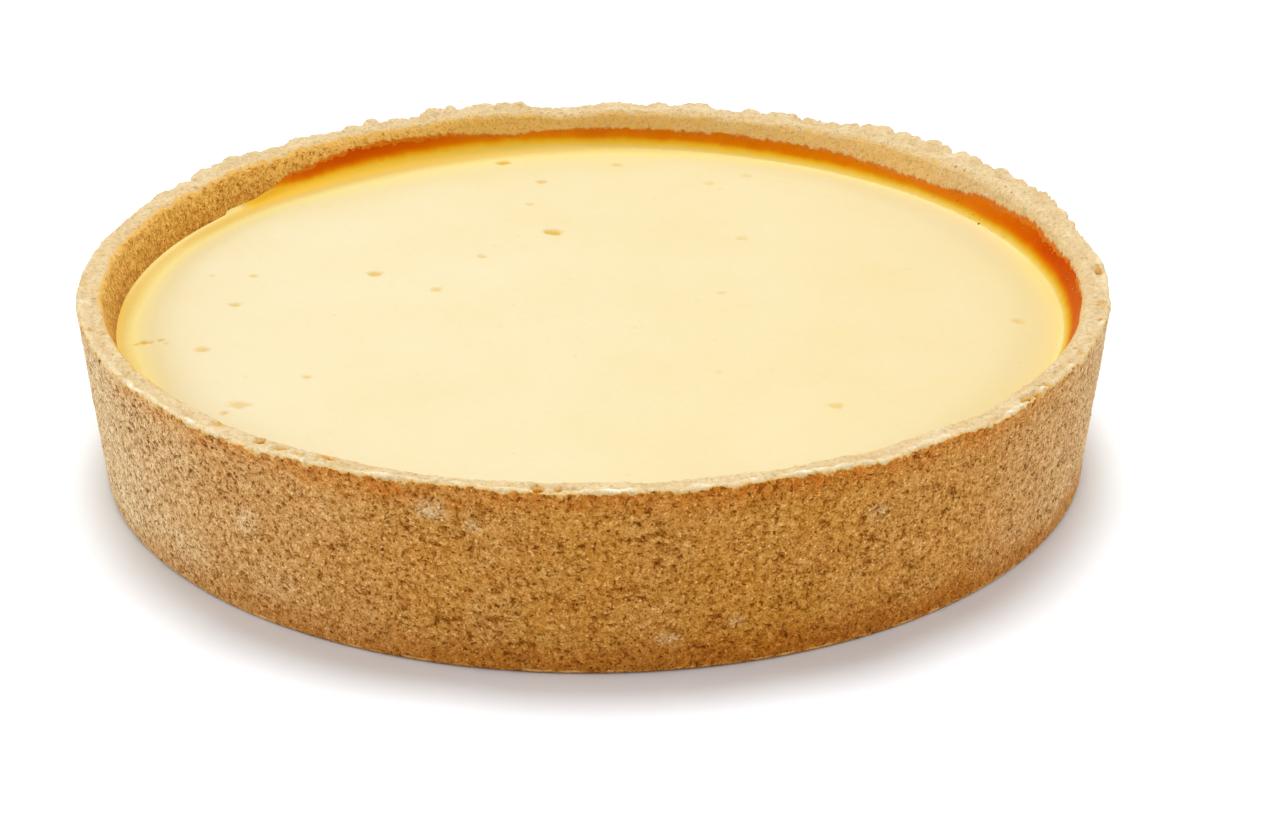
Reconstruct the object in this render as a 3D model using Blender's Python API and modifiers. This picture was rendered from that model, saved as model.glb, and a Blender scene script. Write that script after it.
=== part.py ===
"""A baked cheesecake: a tall shortcrust case filled with set custard, standing on its flat base.

Two solids are modelled in metres, with +Z up and the origin in the middle of the base:
crust, a turned cup with a crumbly, slightly uneven rim, and filling, the custard inside it.
"""

import math

import bmesh
import bpy
import numpy as np

COLLECTION_NAME = "cheesecake"

# The crust's outside: a 26 cm case whose wall leans out a little towards the rim
HEIGHT = 0.047
RIM_RADIUS = 0.130
BASE_RADIUS = 0.126
BASE_CORNER = 0.0012

# The crust's inside: a flat floor, a steep wall, and a looser slope above the filling
FLOOR_THICKNESS = 0.006
RIM_WIDTH = 0.006
INNER_SLOPE = 0.27
CORNER_RADIUS = 0.0055

# The filling stands a little below the rim and sinks towards its edge
FILLING_DROP = 0.0095
EDGE_DROP = 0.0107
GAP = 0.0004

# How finely both pieces are turned: the crust has two segments for each one of the filling
CRUST_SEGMENTS = 240
FILLING_SEGMENTS = 120
MERGE_DISTANCE = 0.00001

# The sections' points: the rim's rounded edges and the lines between them as shares of its width,
# the steps down each wall, the rings of the filling's top and the slope down to its edge
INNER_EDGE_ROUND = 0.0004
OUTER_EDGE_ROUND = 0.0009
RIM_LINE_SHARES = (0.45, 0.76)
OUTER_WALL_STEPS = 6
INNER_WALL_STEPS = 3
TOP_RING_RADII = (0.030, 0.058, 0.082, 0.100, 0.112)
EDGE_SLOPE_WIDTH = 0.0035
EDGE_SLOPE_RISE = 0.0005

# Places where the rim's outer edge stands out, up, in or down:
# middle angle and half width in degrees from +X, then the push out and the rise
RIM_FORMS = (
    (38.0, 27.0, 0.0012, 0.0007),
    (49.0, 7.0, 0.0008, 0.0004),
    (27.0, 6.0, 0.0006, 0.0002),
    (76.0, 4.0, 0.0006, 0.0003),
    (94.0, 5.0, -0.0004, -0.0012),
    (106.0, 8.0, 0.0005, 0.0003),
    (150.0, 5.0, -0.0005, -0.0004),
    (8.0, 7.0, -0.0004, -0.0003),
    (232.0, 9.0, 0.0007, -0.0003),
    (255.0, 9.0, -0.0013, -0.0001),
    (288.0, 4.0, -0.0008, 0.0),
    (299.0, 3.5, 0.0012, -0.0004),
    (316.0, 8.0, 0.0003, -0.0008),
)

# Chips in the rim's top: angle, radius, half length along the rim, half width across it, depth
RIM_CHIPS = (
    (267.0, 0.1284, 0.0030, 0.0021, 0.0021),
    (273.5, 0.1278, 0.0020, 0.0015, 0.0011),
    (324.0, 0.1284, 0.0040, 0.0018, 0.0015),
    (2.0, 0.1262, 0.0020, 0.0016, 0.0011),
    (347.0, 0.1266, 0.0022, 0.0015, 0.0010),
    (238.0, 0.1275, 0.0018, 0.0014, 0.0008),
    (229.0, 0.1270, 0.0016, 0.0013, 0.0007),
)

# Soft unevenness: the size of its swells, how far they stand out, and a seed for each surface
RIM_SWELL_SIZE = 0.010
RIM_SWELL = 0.00030
RIM_SEED = 3
WALL_SWELL_SIZE = 0.009
WALL_SWELL = 0.00035
OUTER_WALL_SEED = 1
INNER_WALL_SEED = 2
FILLING_SWELL_SIZE = 0.055
FILLING_SWELL = 0.00040
FILLING_SEED = 4

# How far down the wall the rim's forms reach
RIM_FORM_REACH = 0.007

# Where the baked film climbs the crust, the filling's edge is drawn up with it
FILM_ANGLE = 45.0
FILM_HALF_WIDTH = 100.0
FILM_LIFT = 0.0010

CRUST_COLOUR = (0.60, 0.36, 0.14, 1.0)
CRUST_ROUGHNESS = 0.85
FILLING_COLOUR = (0.93, 0.78, 0.42, 1.0)
FILLING_ROUGHNESS = 0.40
SMOOTH_ANGLE = math.radians(50.0)

# Whole numbers that scatter a lattice's places into random values, one for each axis and the seed
SCATTER = (73856093, 19349663, 83492791, 2654435)
SCATTER_FACTOR = 1274126177
SCATTER_LIMIT = 0x7FFFFFFF
VALUE_LIMIT = 0xFFFF


def clear_scene():
    """Remove every object that the scene starts with."""
    for thing in list(bpy.data.objects):
        bpy.data.objects.remove(thing, do_unlink=True)


def new_collection(name):
    """A collection in the scene, ready to take the pieces."""
    collection = bpy.data.collections.new(name)
    bpy.context.scene.collection.children.link(collection)
    return collection


def new_material(name, colour, roughness):
    """A plain Principled material."""
    material = bpy.data.materials.new(name)
    material.use_nodes = True
    shader = material.node_tree.nodes["Principled BSDF"]
    shader.inputs["Base Color"].default_value = colour
    shader.inputs["Roughness"].default_value = roughness
    shader.inputs["Metallic"].default_value = 0.0
    return material


def outer_radius(height):
    """The outer wall's radius: a straight line from the base up to the rim."""
    return BASE_RADIUS + (RIM_RADIUS - BASE_RADIUS) * height / HEIGHT


def inner_radius(height):
    """The inner wall's radius: parallel to the outer wall, then sloping out above the filling."""
    contact = HEIGHT - EDGE_DROP
    above = np.maximum(height - contact, 0.0)
    below = np.maximum(contact - height, 0.0)
    contact_radius = RIM_RADIUS - RIM_WIDTH - INNER_SLOPE * EDGE_DROP
    taper = (RIM_RADIUS - BASE_RADIUS) / HEIGHT
    return contact_radius + INNER_SLOPE * above - taper * below


def crust_profile():
    """The cup's half section, from the middle of its floor over the rim to the middle of its base."""
    points = [(0.0, FLOOR_THICKNESS)]
    corner_top = FLOOR_THICKNESS + CORNER_RADIUS
    corner_centre = inner_radius(corner_top) - CORNER_RADIUS
    for turn in (-90.0, -45.0, 0.0):
        angle = math.radians(turn)
        radius = corner_centre + CORNER_RADIUS * math.cos(angle)
        points.append((radius, corner_top + CORNER_RADIUS * math.sin(angle)))
    for step in range(INNER_WALL_STEPS + 1):
        drop = EDGE_DROP * (1.0 - step / (INNER_WALL_STEPS + 0.5))
        points.append((inner_radius(HEIGHT - drop), HEIGHT - drop))
    inner_edge = RIM_RADIUS - RIM_WIDTH
    points.append((inner_edge + INNER_EDGE_ROUND, HEIGHT - INNER_EDGE_ROUND / 4))
    for share in RIM_LINE_SHARES:
        points.append((inner_edge + RIM_WIDTH * share, HEIGHT))
    points.append((RIM_RADIUS - OUTER_EDGE_ROUND / 3, HEIGHT - OUTER_EDGE_ROUND))
    wall_top = HEIGHT - OUTER_EDGE_ROUND * 3
    for step in range(OUTER_WALL_STEPS):
        height = wall_top - (wall_top - BASE_CORNER) * step / (OUTER_WALL_STEPS - 1)
        points.append((outer_radius(height), height))
    points.append((BASE_RADIUS - BASE_CORNER, 0.0))
    points.append((0.0, 0.0))
    return points


def filling_profile():
    """The filling's half section: its top outwards, down inside the wall, and back along the floor."""
    points = [(0.0, HEIGHT - FILLING_DROP)]
    for radius in TOP_RING_RADII:
        points.append((radius, HEIGHT - FILLING_DROP))
    edge_height = HEIGHT - EDGE_DROP
    edge_radius = inner_radius(edge_height) - GAP
    points.append((edge_radius - EDGE_SLOPE_WIDTH, edge_height + EDGE_SLOPE_RISE))
    points.append((edge_radius, edge_height))
    corner_top = FLOOR_THICKNESS + CORNER_RADIUS
    corner_centre = inner_radius(corner_top) - CORNER_RADIUS
    for turn in (0.0, -45.0, -90.0):
        angle = math.radians(turn)
        reach = CORNER_RADIUS - GAP
        points.append((corner_centre + reach * math.cos(angle), corner_top + reach * math.sin(angle)))
    points.append((0.0, FLOOR_THICKNESS + GAP))
    return points


def turned(name, profile, segments):
    """Turn a half section about Z with a Screw modifier, and return the result as a plain mesh."""
    mesh = bpy.data.meshes.new(name + "_profile")
    edges = [(i, i + 1) for i in range(len(profile) - 1)]
    mesh.from_pydata([(radius, 0.0, height) for radius, height in profile], edges, [])
    guide = bpy.data.objects.new(name + "_profile", mesh)
    bpy.context.scene.collection.objects.link(guide)
    screw = guide.modifiers.new("turn", "SCREW")
    screw.axis = "Z"
    screw.angle = math.tau
    screw.steps = segments
    screw.render_steps = segments
    screw.use_merge_vertices = True
    screw.merge_threshold = MERGE_DISTANCE
    evaluated = guide.evaluated_get(bpy.context.evaluated_depsgraph_get())
    solid = bpy.data.meshes.new_from_object(evaluated)
    solid.name = name
    bpy.data.objects.remove(guide, do_unlink=True)
    return solid


def lattice_value(place, seed):
    """A fixed random number from -1 to 1 for each whole-numbered place of a lattice."""
    mixed = place @ np.array(SCATTER[:3]) + seed * SCATTER[3]
    mixed = (mixed ^ (mixed >> 13)) & SCATTER_LIMIT
    mixed = (mixed * SCATTER_FACTOR) & SCATTER_LIMIT
    mixed = (mixed ^ (mixed >> 15)) & VALUE_LIMIT
    return mixed * 2.0 / VALUE_LIMIT - 1.0


def swell(points, size, seed):
    """Smooth unevenness from -1 to 1: lattice values a size apart, blended between the corners."""
    cells = points / size
    low = np.floor(cells).astype(np.int64)
    part = cells - low
    part = part * part * (3.0 - 2.0 * part)
    total = np.zeros(len(points))
    for corner in np.ndindex(2, 2, 2):
        weight = np.prod(np.where(corner, part, 1.0 - part), axis=1)
        total += weight * lattice_value(low + np.array(corner), seed)
    return total


def hump(away):
    """1 in the middle and 0 from a distance of 1 on, with a smooth round shape between."""
    return np.clip(1.0 - away * away, 0.0, 1.0) ** 2


def step_up(value, low, high):
    """A smooth step: 0 up to the low value, 1 from the high value on."""
    part = np.clip((value - low) / (high - low), 0.0, 1.0)
    return part * part * (3.0 - 2.0 * part)


def degrees_from(angle, centre):
    """The shorter way round from a centre angle, in degrees."""
    return (angle - centre + 180.0) % 360.0 - 180.0


def shape_crust(points):
    """Move the turned crust's points: a crumbly rim pushed out, sunk and chipped, and a swelling wall."""
    radius = np.hypot(points[:, 0], points[:, 1])
    angle = np.degrees(np.arctan2(points[:, 1], points[:, 0]))
    height = points[:, 2]
    near_top = step_up(height, HEIGHT - RIM_FORM_REACH, HEIGHT)
    outside = step_up(radius, outer_radius(height) - RIM_WIDTH, outer_radius(height) - RIM_WIDTH / 4)
    above_filling = step_up(height, HEIGHT - EDGE_DROP, HEIGHT - EDGE_DROP / 2)
    above_base = step_up(height, BASE_CORNER / 4, BASE_CORNER * 2)

    push = np.zeros(len(points))
    rise = np.zeros(len(points))
    for centre, half_width, out, up in RIM_FORMS:
        share = hump(degrees_from(angle, centre) / half_width)
        push += out * share * near_top * outside
        rise += up * share * near_top
    for centre, chip_radius, along, across, depth in RIM_CHIPS:
        arc = np.radians(degrees_from(angle, centre)) * chip_radius
        rise -= depth * hump(np.hypot(arc / along, (radius - chip_radius) / across)) * near_top

    outer_swell = swell(points, WALL_SWELL_SIZE, OUTER_WALL_SEED) * outside * above_base
    inner_swell = swell(points, WALL_SWELL_SIZE, INNER_WALL_SEED) * (1.0 - outside) * above_filling
    push += WALL_SWELL * (outer_swell + inner_swell)
    rise += RIM_SWELL * swell(points, RIM_SWELL_SIZE, RIM_SEED) * near_top
    return moved(points, push, rise)


def shape_filling(points):
    """Move the turned filling's points: a softly uneven top, drawn up along the edge by the film."""
    radius = np.hypot(points[:, 0], points[:, 1])
    angle = np.degrees(np.arctan2(points[:, 1], points[:, 0]))
    edge_height = HEIGHT - EDGE_DROP
    edge_radius = inner_radius(edge_height) - GAP
    on_top = step_up(points[:, 2], edge_height - GAP, edge_height)
    inwards = 1.0 - step_up(radius, TOP_RING_RADII[-1], edge_radius)
    at_edge = step_up(radius, edge_radius - GAP, edge_radius)
    lift = FILM_LIFT * hump(degrees_from(angle, FILM_ANGLE) / FILM_HALF_WIDTH) * at_edge * on_top
    rise = lift + FILLING_SWELL * swell(points, FILLING_SWELL_SIZE, FILLING_SEED) * inwards * on_top
    return moved(points, INNER_SLOPE * lift, rise)


def moved(points, push, rise):
    """The points pushed out from the Z axis and raised, each by its own amount."""
    radius = np.maximum(np.hypot(points[:, 0], points[:, 1]), MERGE_DISTANCE)
    result = points.copy()
    result[:, 0] += push * points[:, 0] / radius
    result[:, 1] += push * points[:, 1] / radius
    result[:, 2] += rise
    return result


def add_piece(mesh, shape, material, collection):
    """Shape a turned mesh, face it outwards and add it to the collection as one named object."""
    points = np.empty(len(mesh.vertices) * 3, dtype=np.float32)
    mesh.vertices.foreach_get("co", points)
    points = shape(points.reshape(-1, 3).astype(np.float64))
    mesh.vertices.foreach_set("co", points.astype(np.float32).ravel())
    shell = bmesh.new()
    shell.from_mesh(mesh)
    bmesh.ops.recalc_face_normals(shell, faces=shell.faces)
    shell.to_mesh(mesh)
    shell.free()
    mesh.shade_smooth()
    mesh.set_sharp_from_angle(angle=SMOOTH_ANGLE)
    mesh.materials.append(material)
    piece = bpy.data.objects.new(mesh.name, mesh)
    collection.objects.link(piece)
    return piece


def make_crust(collection):
    """The shortcrust case: floor, wall and rim in one turned piece."""
    mesh = turned("crust", crust_profile(), CRUST_SEGMENTS)
    material = new_material("crust", CRUST_COLOUR, CRUST_ROUGHNESS)
    return add_piece(mesh, shape_crust, material, collection)


def make_filling(collection):
    """The set custard, which fills the case to just below its rim."""
    mesh = turned("filling", filling_profile(), FILLING_SEGMENTS)
    material = new_material("filling", FILLING_COLOUR, FILLING_ROUGHNESS)
    return add_piece(mesh, shape_filling, material, collection)


def main():
    clear_scene()
    collection = new_collection(COLLECTION_NAME)
    make_crust(collection)
    make_filling(collection)


main()
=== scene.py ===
"""The looks of a baked cheesecake: sandy shortcrust, set custard and the baked film between them.

Every surface is worked out with numpy on a grid, in metres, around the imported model.
"""

import math
from types import SimpleNamespace

import bpy
import numpy as np
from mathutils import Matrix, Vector


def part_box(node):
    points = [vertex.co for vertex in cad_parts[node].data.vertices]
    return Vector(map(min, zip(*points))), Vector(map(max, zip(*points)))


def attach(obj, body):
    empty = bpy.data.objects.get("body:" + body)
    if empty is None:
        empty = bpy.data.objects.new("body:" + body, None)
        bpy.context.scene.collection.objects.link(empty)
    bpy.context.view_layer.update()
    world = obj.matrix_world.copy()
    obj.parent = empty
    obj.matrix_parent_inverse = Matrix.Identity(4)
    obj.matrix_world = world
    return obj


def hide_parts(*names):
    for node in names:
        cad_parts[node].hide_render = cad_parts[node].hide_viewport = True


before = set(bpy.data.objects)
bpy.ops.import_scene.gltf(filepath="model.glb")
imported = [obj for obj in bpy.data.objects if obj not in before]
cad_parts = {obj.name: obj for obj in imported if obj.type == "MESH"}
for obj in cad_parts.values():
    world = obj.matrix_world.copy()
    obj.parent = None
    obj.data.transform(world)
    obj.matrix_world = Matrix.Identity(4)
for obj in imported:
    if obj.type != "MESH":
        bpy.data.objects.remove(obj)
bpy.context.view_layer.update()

# The crust's section, as in the solids
FLOOR_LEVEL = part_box("crust")[0][2]
HEIGHT = 0.047
RIM_RADIUS = 0.130
BASE_RADIUS = 0.126
RIM_WIDTH = 0.006
INNER_SLOPE = 0.27
INNER_EDGE_ROUND = 0.0022
OUTER_EDGE_ROUND = 0.0010
BASE_CORNER = 0.0014
UNDERSIDE_REACH = 0.004
WALL_BELOW_FILLING = 0.0022

# The filling's level below the rim, in the middle and at its edge, the height of that edge, and the
# radius from which the level sinks towards it
FILLING_DROP = 0.0095
EDGE_DROP = 0.0107
CONTACT = HEIGHT - EDGE_DROP
FILLING_SINK_FROM = 0.106

# The crust's grid: one set of columns all round, rows a small step apart, and how far below the rim's
# top its own piece ends, inside and outside
COLUMNS = 1800
ROW_STEP = 0.00045
WALL_SECTORS = 4
INNER_SEAM = 0.0016
OUTER_SEAM = 0.0030

# The underside's disc of cells, how far it overlaps the wall's turned-in edge, and how high it lies
BASE_CELLS = 96
BASE_OVERLAP = 0.0015
BASE_LIFT = 0.00012

# The size of the outer wall's grains and of the finish's finer ones
GRAIN_SIZE = 0.00120
SANDY_SIZE = 0.00052

# The filling's grid: a square of cells bent into a disc, and a band of rows outside it
DISC_RADIUS = 0.108
DISC_CELLS = 300
BAND_ROWS = 44

# The film's thickness, how deep its top edge dips into the crust, and the fillet under it: its least
# reach, and how much that grows where the film climbs high and where the custard stays pale
FILM_THICKNESS = 0.00034
FILM_DIP = 0.00024
FILLET_LEAST = 0.0010
FILLET_HIGH = 0.0022
FILLET_PALE = 0.0024

# Rim forms, which fade out a little below the rim's top: middle angle and half width in degrees from
# +X, then the push out and the rise
NEAR_TOP = 0.007
RIM_FORMS = (
    (38.0, 27.0, 0.0012, 0.0007),
    (49.0, 7.0, 0.0008, 0.0004),
    (27.0, 6.0, 0.0006, 0.0002),
    (76.0, 4.0, 0.0006, 0.0003),
    (94.0, 5.0, -0.0004, -0.0012),
    (106.0, 8.0, 0.0005, 0.0003),
    (150.0, 5.0, -0.0005, -0.0004),
    (8.0, 7.0, -0.0004, -0.0003),
    (232.0, 9.0, 0.0007, -0.0003),
    (255.0, 9.0, -0.0013, -0.0001),
    (288.0, 4.0, -0.0008, 0.0),
    (299.0, 3.5, 0.0012, -0.0004),
    (316.0, 8.0, 0.0003, -0.0008),
)

# Lumps of dough squeezed over the rim's outer edge: the radius and half width across the rim that all
# of them share, then for each its middle angle and half width in degrees, and its size
LUMP_RADIUS = 0.1290
LUMP_REACH = 0.0026
RIM_LUMPS = (
    (155.5, 1.6, 0.0008), (151.0, 1.4, 0.0006), (147.2, 2.2, 0.0016), (144.0, 1.2, 0.0012),
    (141.6, 1.9, 0.0019), (138.6, 1.8, 0.0010), (135.5, 1.3, 0.0006), (130.8, 2.0, 0.0008),
    (128.2, 0.9, 0.0006), (123.0, 1.1, 0.0012), (120.0, 1.1, 0.0014), (116.5, 1.2, 0.0007),
    (111.3, 1.9, 0.0020), (108.9, 0.9, 0.0014), (104.6, 1.8, 0.0010), (101.6, 1.4, 0.0012),
    (99.9, 1.0, 0.0018), (87.0, 2.3, 0.0007), (81.2, 1.1, 0.0011), (77.5, 1.4, 0.0008),
    (75.8, 1.0, 0.0012), (69.0, 1.2, 0.0008), (65.4, 1.5, 0.0014), (63.7, 0.9, 0.0014),
    (61.0, 0.8, 0.0010), (55.2, 1.2, 0.0010), (52.3, 1.4, 0.0016), (50.4, 1.5, 0.0022),
    (47.4, 1.3, 0.0017), (45.6, 0.9, 0.0014), (42.6, 1.3, 0.0022), (40.6, 1.0, 0.0014),
    (37.6, 1.1, 0.0016), (35.6, 1.2, 0.0015), (33.0, 0.9, 0.0007), (30.3, 1.0, 0.0015),
    (26.2, 0.9, 0.0007), (23.8, 0.9, 0.0013), (21.4, 1.4, 0.0019), (18.8, 1.2, 0.0012),
    (15.6, 1.6, 0.0008), (12.6, 0.8, 0.0006), (296.5, 1.6, 0.0008), (300.4, 1.3, 0.0006),
    (240.5, 1.8, 0.0005), (229.0, 1.5, 0.0006), (218.5, 1.8, 0.0005),
)

# Above the tall rise, only this share of a rise is left, so no lump stands far above the rim
TALL_RISE = 0.0015
TALL_SHARE = 0.5

# Chips in the rim's top: angle, radius, half length along the rim, half width across it, depth, and
# how far its inside shows the baked dough
RIM_CHIPS = (
    (264.4, 0.1277, 0.0019, 0.0021, 0.0020, 1.0),
    (266.4, 0.1274, 0.0016, 0.0015, 0.0012, 0.9),
    (268.0, 0.1279, 0.0012, 0.0009, 0.0008, 0.6),
    (320.2, 0.1284, 0.0030, 0.0011, 0.0013, 0.9),
    (321.9, 0.1289, 0.0024, 0.0013, 0.0018, 1.0),
    (324.0, 0.1286, 0.0018, 0.0013, 0.0015, 1.0),
    (358.3, 0.1284, 0.0034, 0.0014, 0.0022, 0.9),
    (348.2, 0.1282, 0.0020, 0.0012, 0.0007, 0.45),
    (343.3, 0.1286, 0.0018, 0.0010, 0.0014, 1.0),
    (334.2, 0.1284, 0.0024, 0.0008, 0.0008, 0.7),
    (331.5, 0.1278, 0.0022, 0.0009, 0.0008, 0.5),
    (329.4, 0.1275, 0.0028, 0.0011, 0.0006, 0.35),
    (314.2, 0.1280, 0.0026, 0.0009, 0.0006, 0.45),
    (227.7, 0.1258, 0.0018, 0.0015, 0.0014, 0.7),
    (233.9, 0.1262, 0.0015, 0.0014, 0.0014, 1.0),
    (236.9, 0.1266, 0.0017, 0.0012, 0.0012, 0.8),
    (239.0, 0.1274, 0.0014, 0.0011, 0.0009, 0.7),
    (242.0, 0.1260, 0.0038, 0.0012, 0.0010, 0.75),
    (223.6, 0.1275, 0.0032, 0.0011, 0.0004, 0.2),
    (211.5, 0.1275, 0.0042, 0.0011, 0.0004, 0.15),
    (184.1, 0.1284, 0.0020, 0.0009, 0.0005, 0.3),
    (197.5, 0.1282, 0.0018, 0.0009, 0.0005, 0.3),
)

# How strongly crumbs stand out of the rim's outer edge: angle in degrees and share, round the cake
CRUMBLE = (
    (0.0, 0.30), (14.0, 0.45), (22.0, 1.00), (58.0, 1.00), (66.0, 0.60), (112.0, 0.70), (135.0, 0.60),
    (148.0, 0.25), (165.0, 0.08), (205.0, 0.12), (225.0, 0.45), (255.0, 0.35), (275.0, 0.25),
    (298.0, 0.45), (325.0, 0.40), (340.0, 0.25), (360.0, 0.30),
)

# The baked film round the cake: how far below the rim it ends, how strongly it is baked (below 0 it
# stays pale), and how far up its golden part reaches, 1 being the usual
FILM = (
    (0.0, 0.0026, 1.55, 0.95), (8.0, 0.0030, 1.60, 0.98), (12.0, 0.0033, 1.60, 1.00),
    (18.0, 0.0027, 1.30, 0.92), (23.0, 0.0038, 1.20, 0.85), (28.0, 0.0038, 1.10, 0.80),
    (33.5, 0.0054, 1.00, 0.75), (40.0, 0.0065, 0.95, 0.70), (45.0, 0.0062, 0.90, 0.66),
    (50.0, 0.0057, 0.90, 0.72), (56.0, 0.0054, 0.98, 0.80), (63.0, 0.0053, 1.00, 0.84),
    (70.0, 0.0048, 1.00, 0.90), (76.0, 0.0052, 1.00, 0.98), (89.0, 0.0049, 1.00, 1.04),
    (96.0, 0.0051, 0.95, 1.06), (101.5, 0.0061, 0.95, 1.08), (106.0, 0.0052, 1.00, 1.16),
    (110.0, 0.0042, 1.20, 1.24), (118.5, 0.0032, 1.50, 1.28), (124.0, 0.0034, 1.60, 1.28),
    (128.0, 0.0042, 1.50, 1.12), (133.0, 0.0054, 1.30, 0.95), (136.0, 0.0062, 1.15, 1.00),
    (138.5, 0.0080, 0.85, 1.00), (141.0, 0.0088, 0.35, 1.00), (144.5, 0.0090, -0.45, 1.00),
    (147.0, 0.0092, -0.60, 1.00), (147.5, 0.0101, -0.50, 1.00), (176.0, 0.0103, -0.30, 1.00),
    (184.0, 0.0106, 0.00, 1.00), (197.0, 0.0106, 0.20, 1.00), (204.0, 0.0106, 0.35, 1.00),
    (214.0, 0.0106, 0.20, 1.00), (225.0, 0.0106, 0.00, 1.00), (250.0, 0.0105, 0.00, 1.00),
    (278.0, 0.0098, 0.10, 1.00), (305.0, 0.0068, 0.50, 1.00), (330.0, 0.0040, 1.00, 0.90),
    (345.0, 0.0024, 1.35, 0.90), (360.0, 0.0026, 1.55, 0.95),
)

# The film's shade by how many metres it has climbed above the contact
FILM_SHADE = (
    (0.0, 0.17), (0.0006, 0.21), (0.0014, 0.30), (0.0022, 0.41), (0.0028, 0.52), (0.0034, 0.62),
    (0.0046, 0.68),
)

# How yellow the custard's top gets at the crust, round the cake, and how far inwards that fades
EDGE_YELLOW = (
    (0.0, 0.13, 0.0050), (12.0, 0.13, 0.0042), (24.0, 0.10, 0.0022), (45.0, 0.09, 0.0028),
    (68.0, 0.12, 0.0070), (89.0, 0.18, 0.0100), (112.0, 0.31, 0.0090), (123.0, 0.34, 0.0090),
    (136.0, 0.36, 0.0080), (149.0, 0.35, 0.0060), (160.0, 0.29, 0.0055), (178.0, 0.30, 0.0054),
    (194.0, 0.23, 0.0060), (203.0, 0.26, 0.0050), (212.0, 0.16, 0.0040), (226.0, 0.07, 0.0030),
    (270.0, 0.04, 0.0030), (300.0, 0.05, 0.0030), (330.0, 0.08, 0.0045), (360.0, 0.13, 0.0050),
)

# Round the cake: how dark the inner wall is toasted above the filling, how dusty and pale the outer
# wall is, partly flour and partly painted glare on its left and right sides, and how strongly its skin is
# browned near the base
INNER_TOAST = (
    (0.0, 0.00), (30.0, 0.03), (45.0, 0.16), (68.0, 0.14), (95.0, 0.25), (122.0, 0.66), (140.0, 1.00),
    (155.0, 1.00), (210.0, 1.00), (255.0, 0.65), (300.0, 0.40), (335.0, 0.12), (360.0, 0.00),
)
WALL_DUST_AND_GLARE = (
    (0.0, 0.85), (40.0, 0.45), (90.0, 0.20), (140.0, 0.45), (178.0, 1.00), (205.0, 0.84), (228.0, 0.35),
    (248.0, 0.12), (285.0, 0.03), (312.0, 0.10), (335.0, 0.50), (350.0, 0.86), (360.0, 0.92),
)
SKIN_SHARE = (
    (0.0, 1.00), (60.0, 0.80), (150.0, 0.10), (195.0, 0.00), (212.0, 0.20), (235.0, 0.60), (270.0, 0.90),
    (310.0, 1.00), (360.0, 1.00),
)

# Floury patches of the outer wall: angle, height, half width, half height and strength
FLOUR_PATCHES = (
    (254.0, 0.0405, 0.0060, 0.0035, 0.75),
    (258.0, 0.0375, 0.0030, 0.0030, 0.50),
    (277.0, 0.0088, 0.0042, 0.0026, 0.55),
    (284.0, 0.0120, 0.0030, 0.0020, 0.35),
    (232.0, 0.0260, 0.0060, 0.0060, 0.35),
    (299.0, 0.0330, 0.0050, 0.0040, 0.30),
    (206.0, 0.0080, 0.0200, 0.0100, 0.20),
)

# Blemishes of the filling's top: place, half size along X, depth and how golden it is
FILLING_PITS = (
    (-0.0262, 0.1062, 0.0030, 0.0012, 1.0),
    (-0.0112, 0.0490, 0.0034, 0.0010, 1.0),
    (-0.0580, 0.0200, 0.0026, 0.0008, 0.8),
    (-0.0410, 0.0090, 0.0026, 0.0005, 0.5),
    (-0.0300, 0.0315, 0.0018, 0.0006, 0.5),
    (-0.0150, 0.0890, 0.0022, 0.0007, 0.7),
    (-0.0180, 0.0705, 0.0018, 0.0005, 0.5),
    (0.0065, 0.1030, 0.0020, 0.0004, 0.5),
    (-0.0922, -0.0005, 0.0022, 0.0007, 0.6),
    (-0.0895, 0.0189, 0.0014, 0.0005, 0.6),
    (-0.1004, 0.0190, 0.0011, 0.0004, 0.5),
    (-0.0969, -0.0297, 0.0027, 0.0006, 0.6),
    (-0.0696, -0.0471, 0.0016, 0.0006, 0.6),
    (-0.0842, -0.0628, 0.0034, 0.0006, 0.55),
    (-0.0873, -0.0669, 0.0016, 0.0005, 0.6),
    (0.0330, 0.0050, 0.0020, 0.0004, 0.35),
    (0.0400, 0.0440, 0.0022, 0.0004, 0.35),
    (0.0330, 0.0870, 0.0022, 0.0004, 0.35),
    (0.0440, 0.0930, 0.0020, 0.0004, 0.35),
    (0.1070, -0.0150, 0.0026, 0.0004, 0.4),
    (0.0567, -0.0652, 0.0026, 0.0005, 0.5),
    (0.0300, -0.0450, 0.0014, 0.0003, 0.25),
    (-0.1140, -0.0240, 0.0012, 0.0006, 0.7),
    (-0.1124, -0.0233, 0.0016, 0.0008, 1.0),
    (-0.1104, -0.0238, 0.0010, 0.0005, 0.8),
    (-0.1082, -0.0229, 0.0013, 0.0006, 0.9),
    (-0.1062, -0.0254, 0.0009, 0.0004, 0.5),
)
FINE_PIT_COUNT = 170
FINE_PIT_REACH = 0.112
FINE_PIT_DEPTH = 0.00022

# The values that the crust's finish reads from its points
CRUST_VALUES = ("pale", "hollow", "rust", "dust_and_glare", "skin", "toast_and_shade", "soaked", "grain", "ridge_and_highlight", "inner")

# Where loose crumbs lie: the grid, its first and last row, the angles, how many, their half sizes, how
# pale they are (0 for a scorched one) and how much of the film's colour they have soaked up
CRUMB_PLACES = (
    ("film", 24, 34, 14.0, 40.0, 14, 0.00012, 0.00028, 0.40, 0.20),
    ("film", 37, 43, -5.0, 75.0, 46, 0.00015, 0.00036, 0.30, 0.55),
    ("film", 26, 27, 27.6, 27.8, 1, 0.00034, 0.00036, 0.00, 0.00),
    ("crust", 24, 34, 10.0, 130.0, 50, 0.00015, 0.00040, 0.80, 0.00),
    ("crust", 28, 36, 180.0, 350.0, 50, 0.00015, 0.00040, 1.00, 0.00),
    ("crust", 38, 130, 190.0, 345.0, 40, 0.00015, 0.00035, 0.45, 0.00),
)

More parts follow.
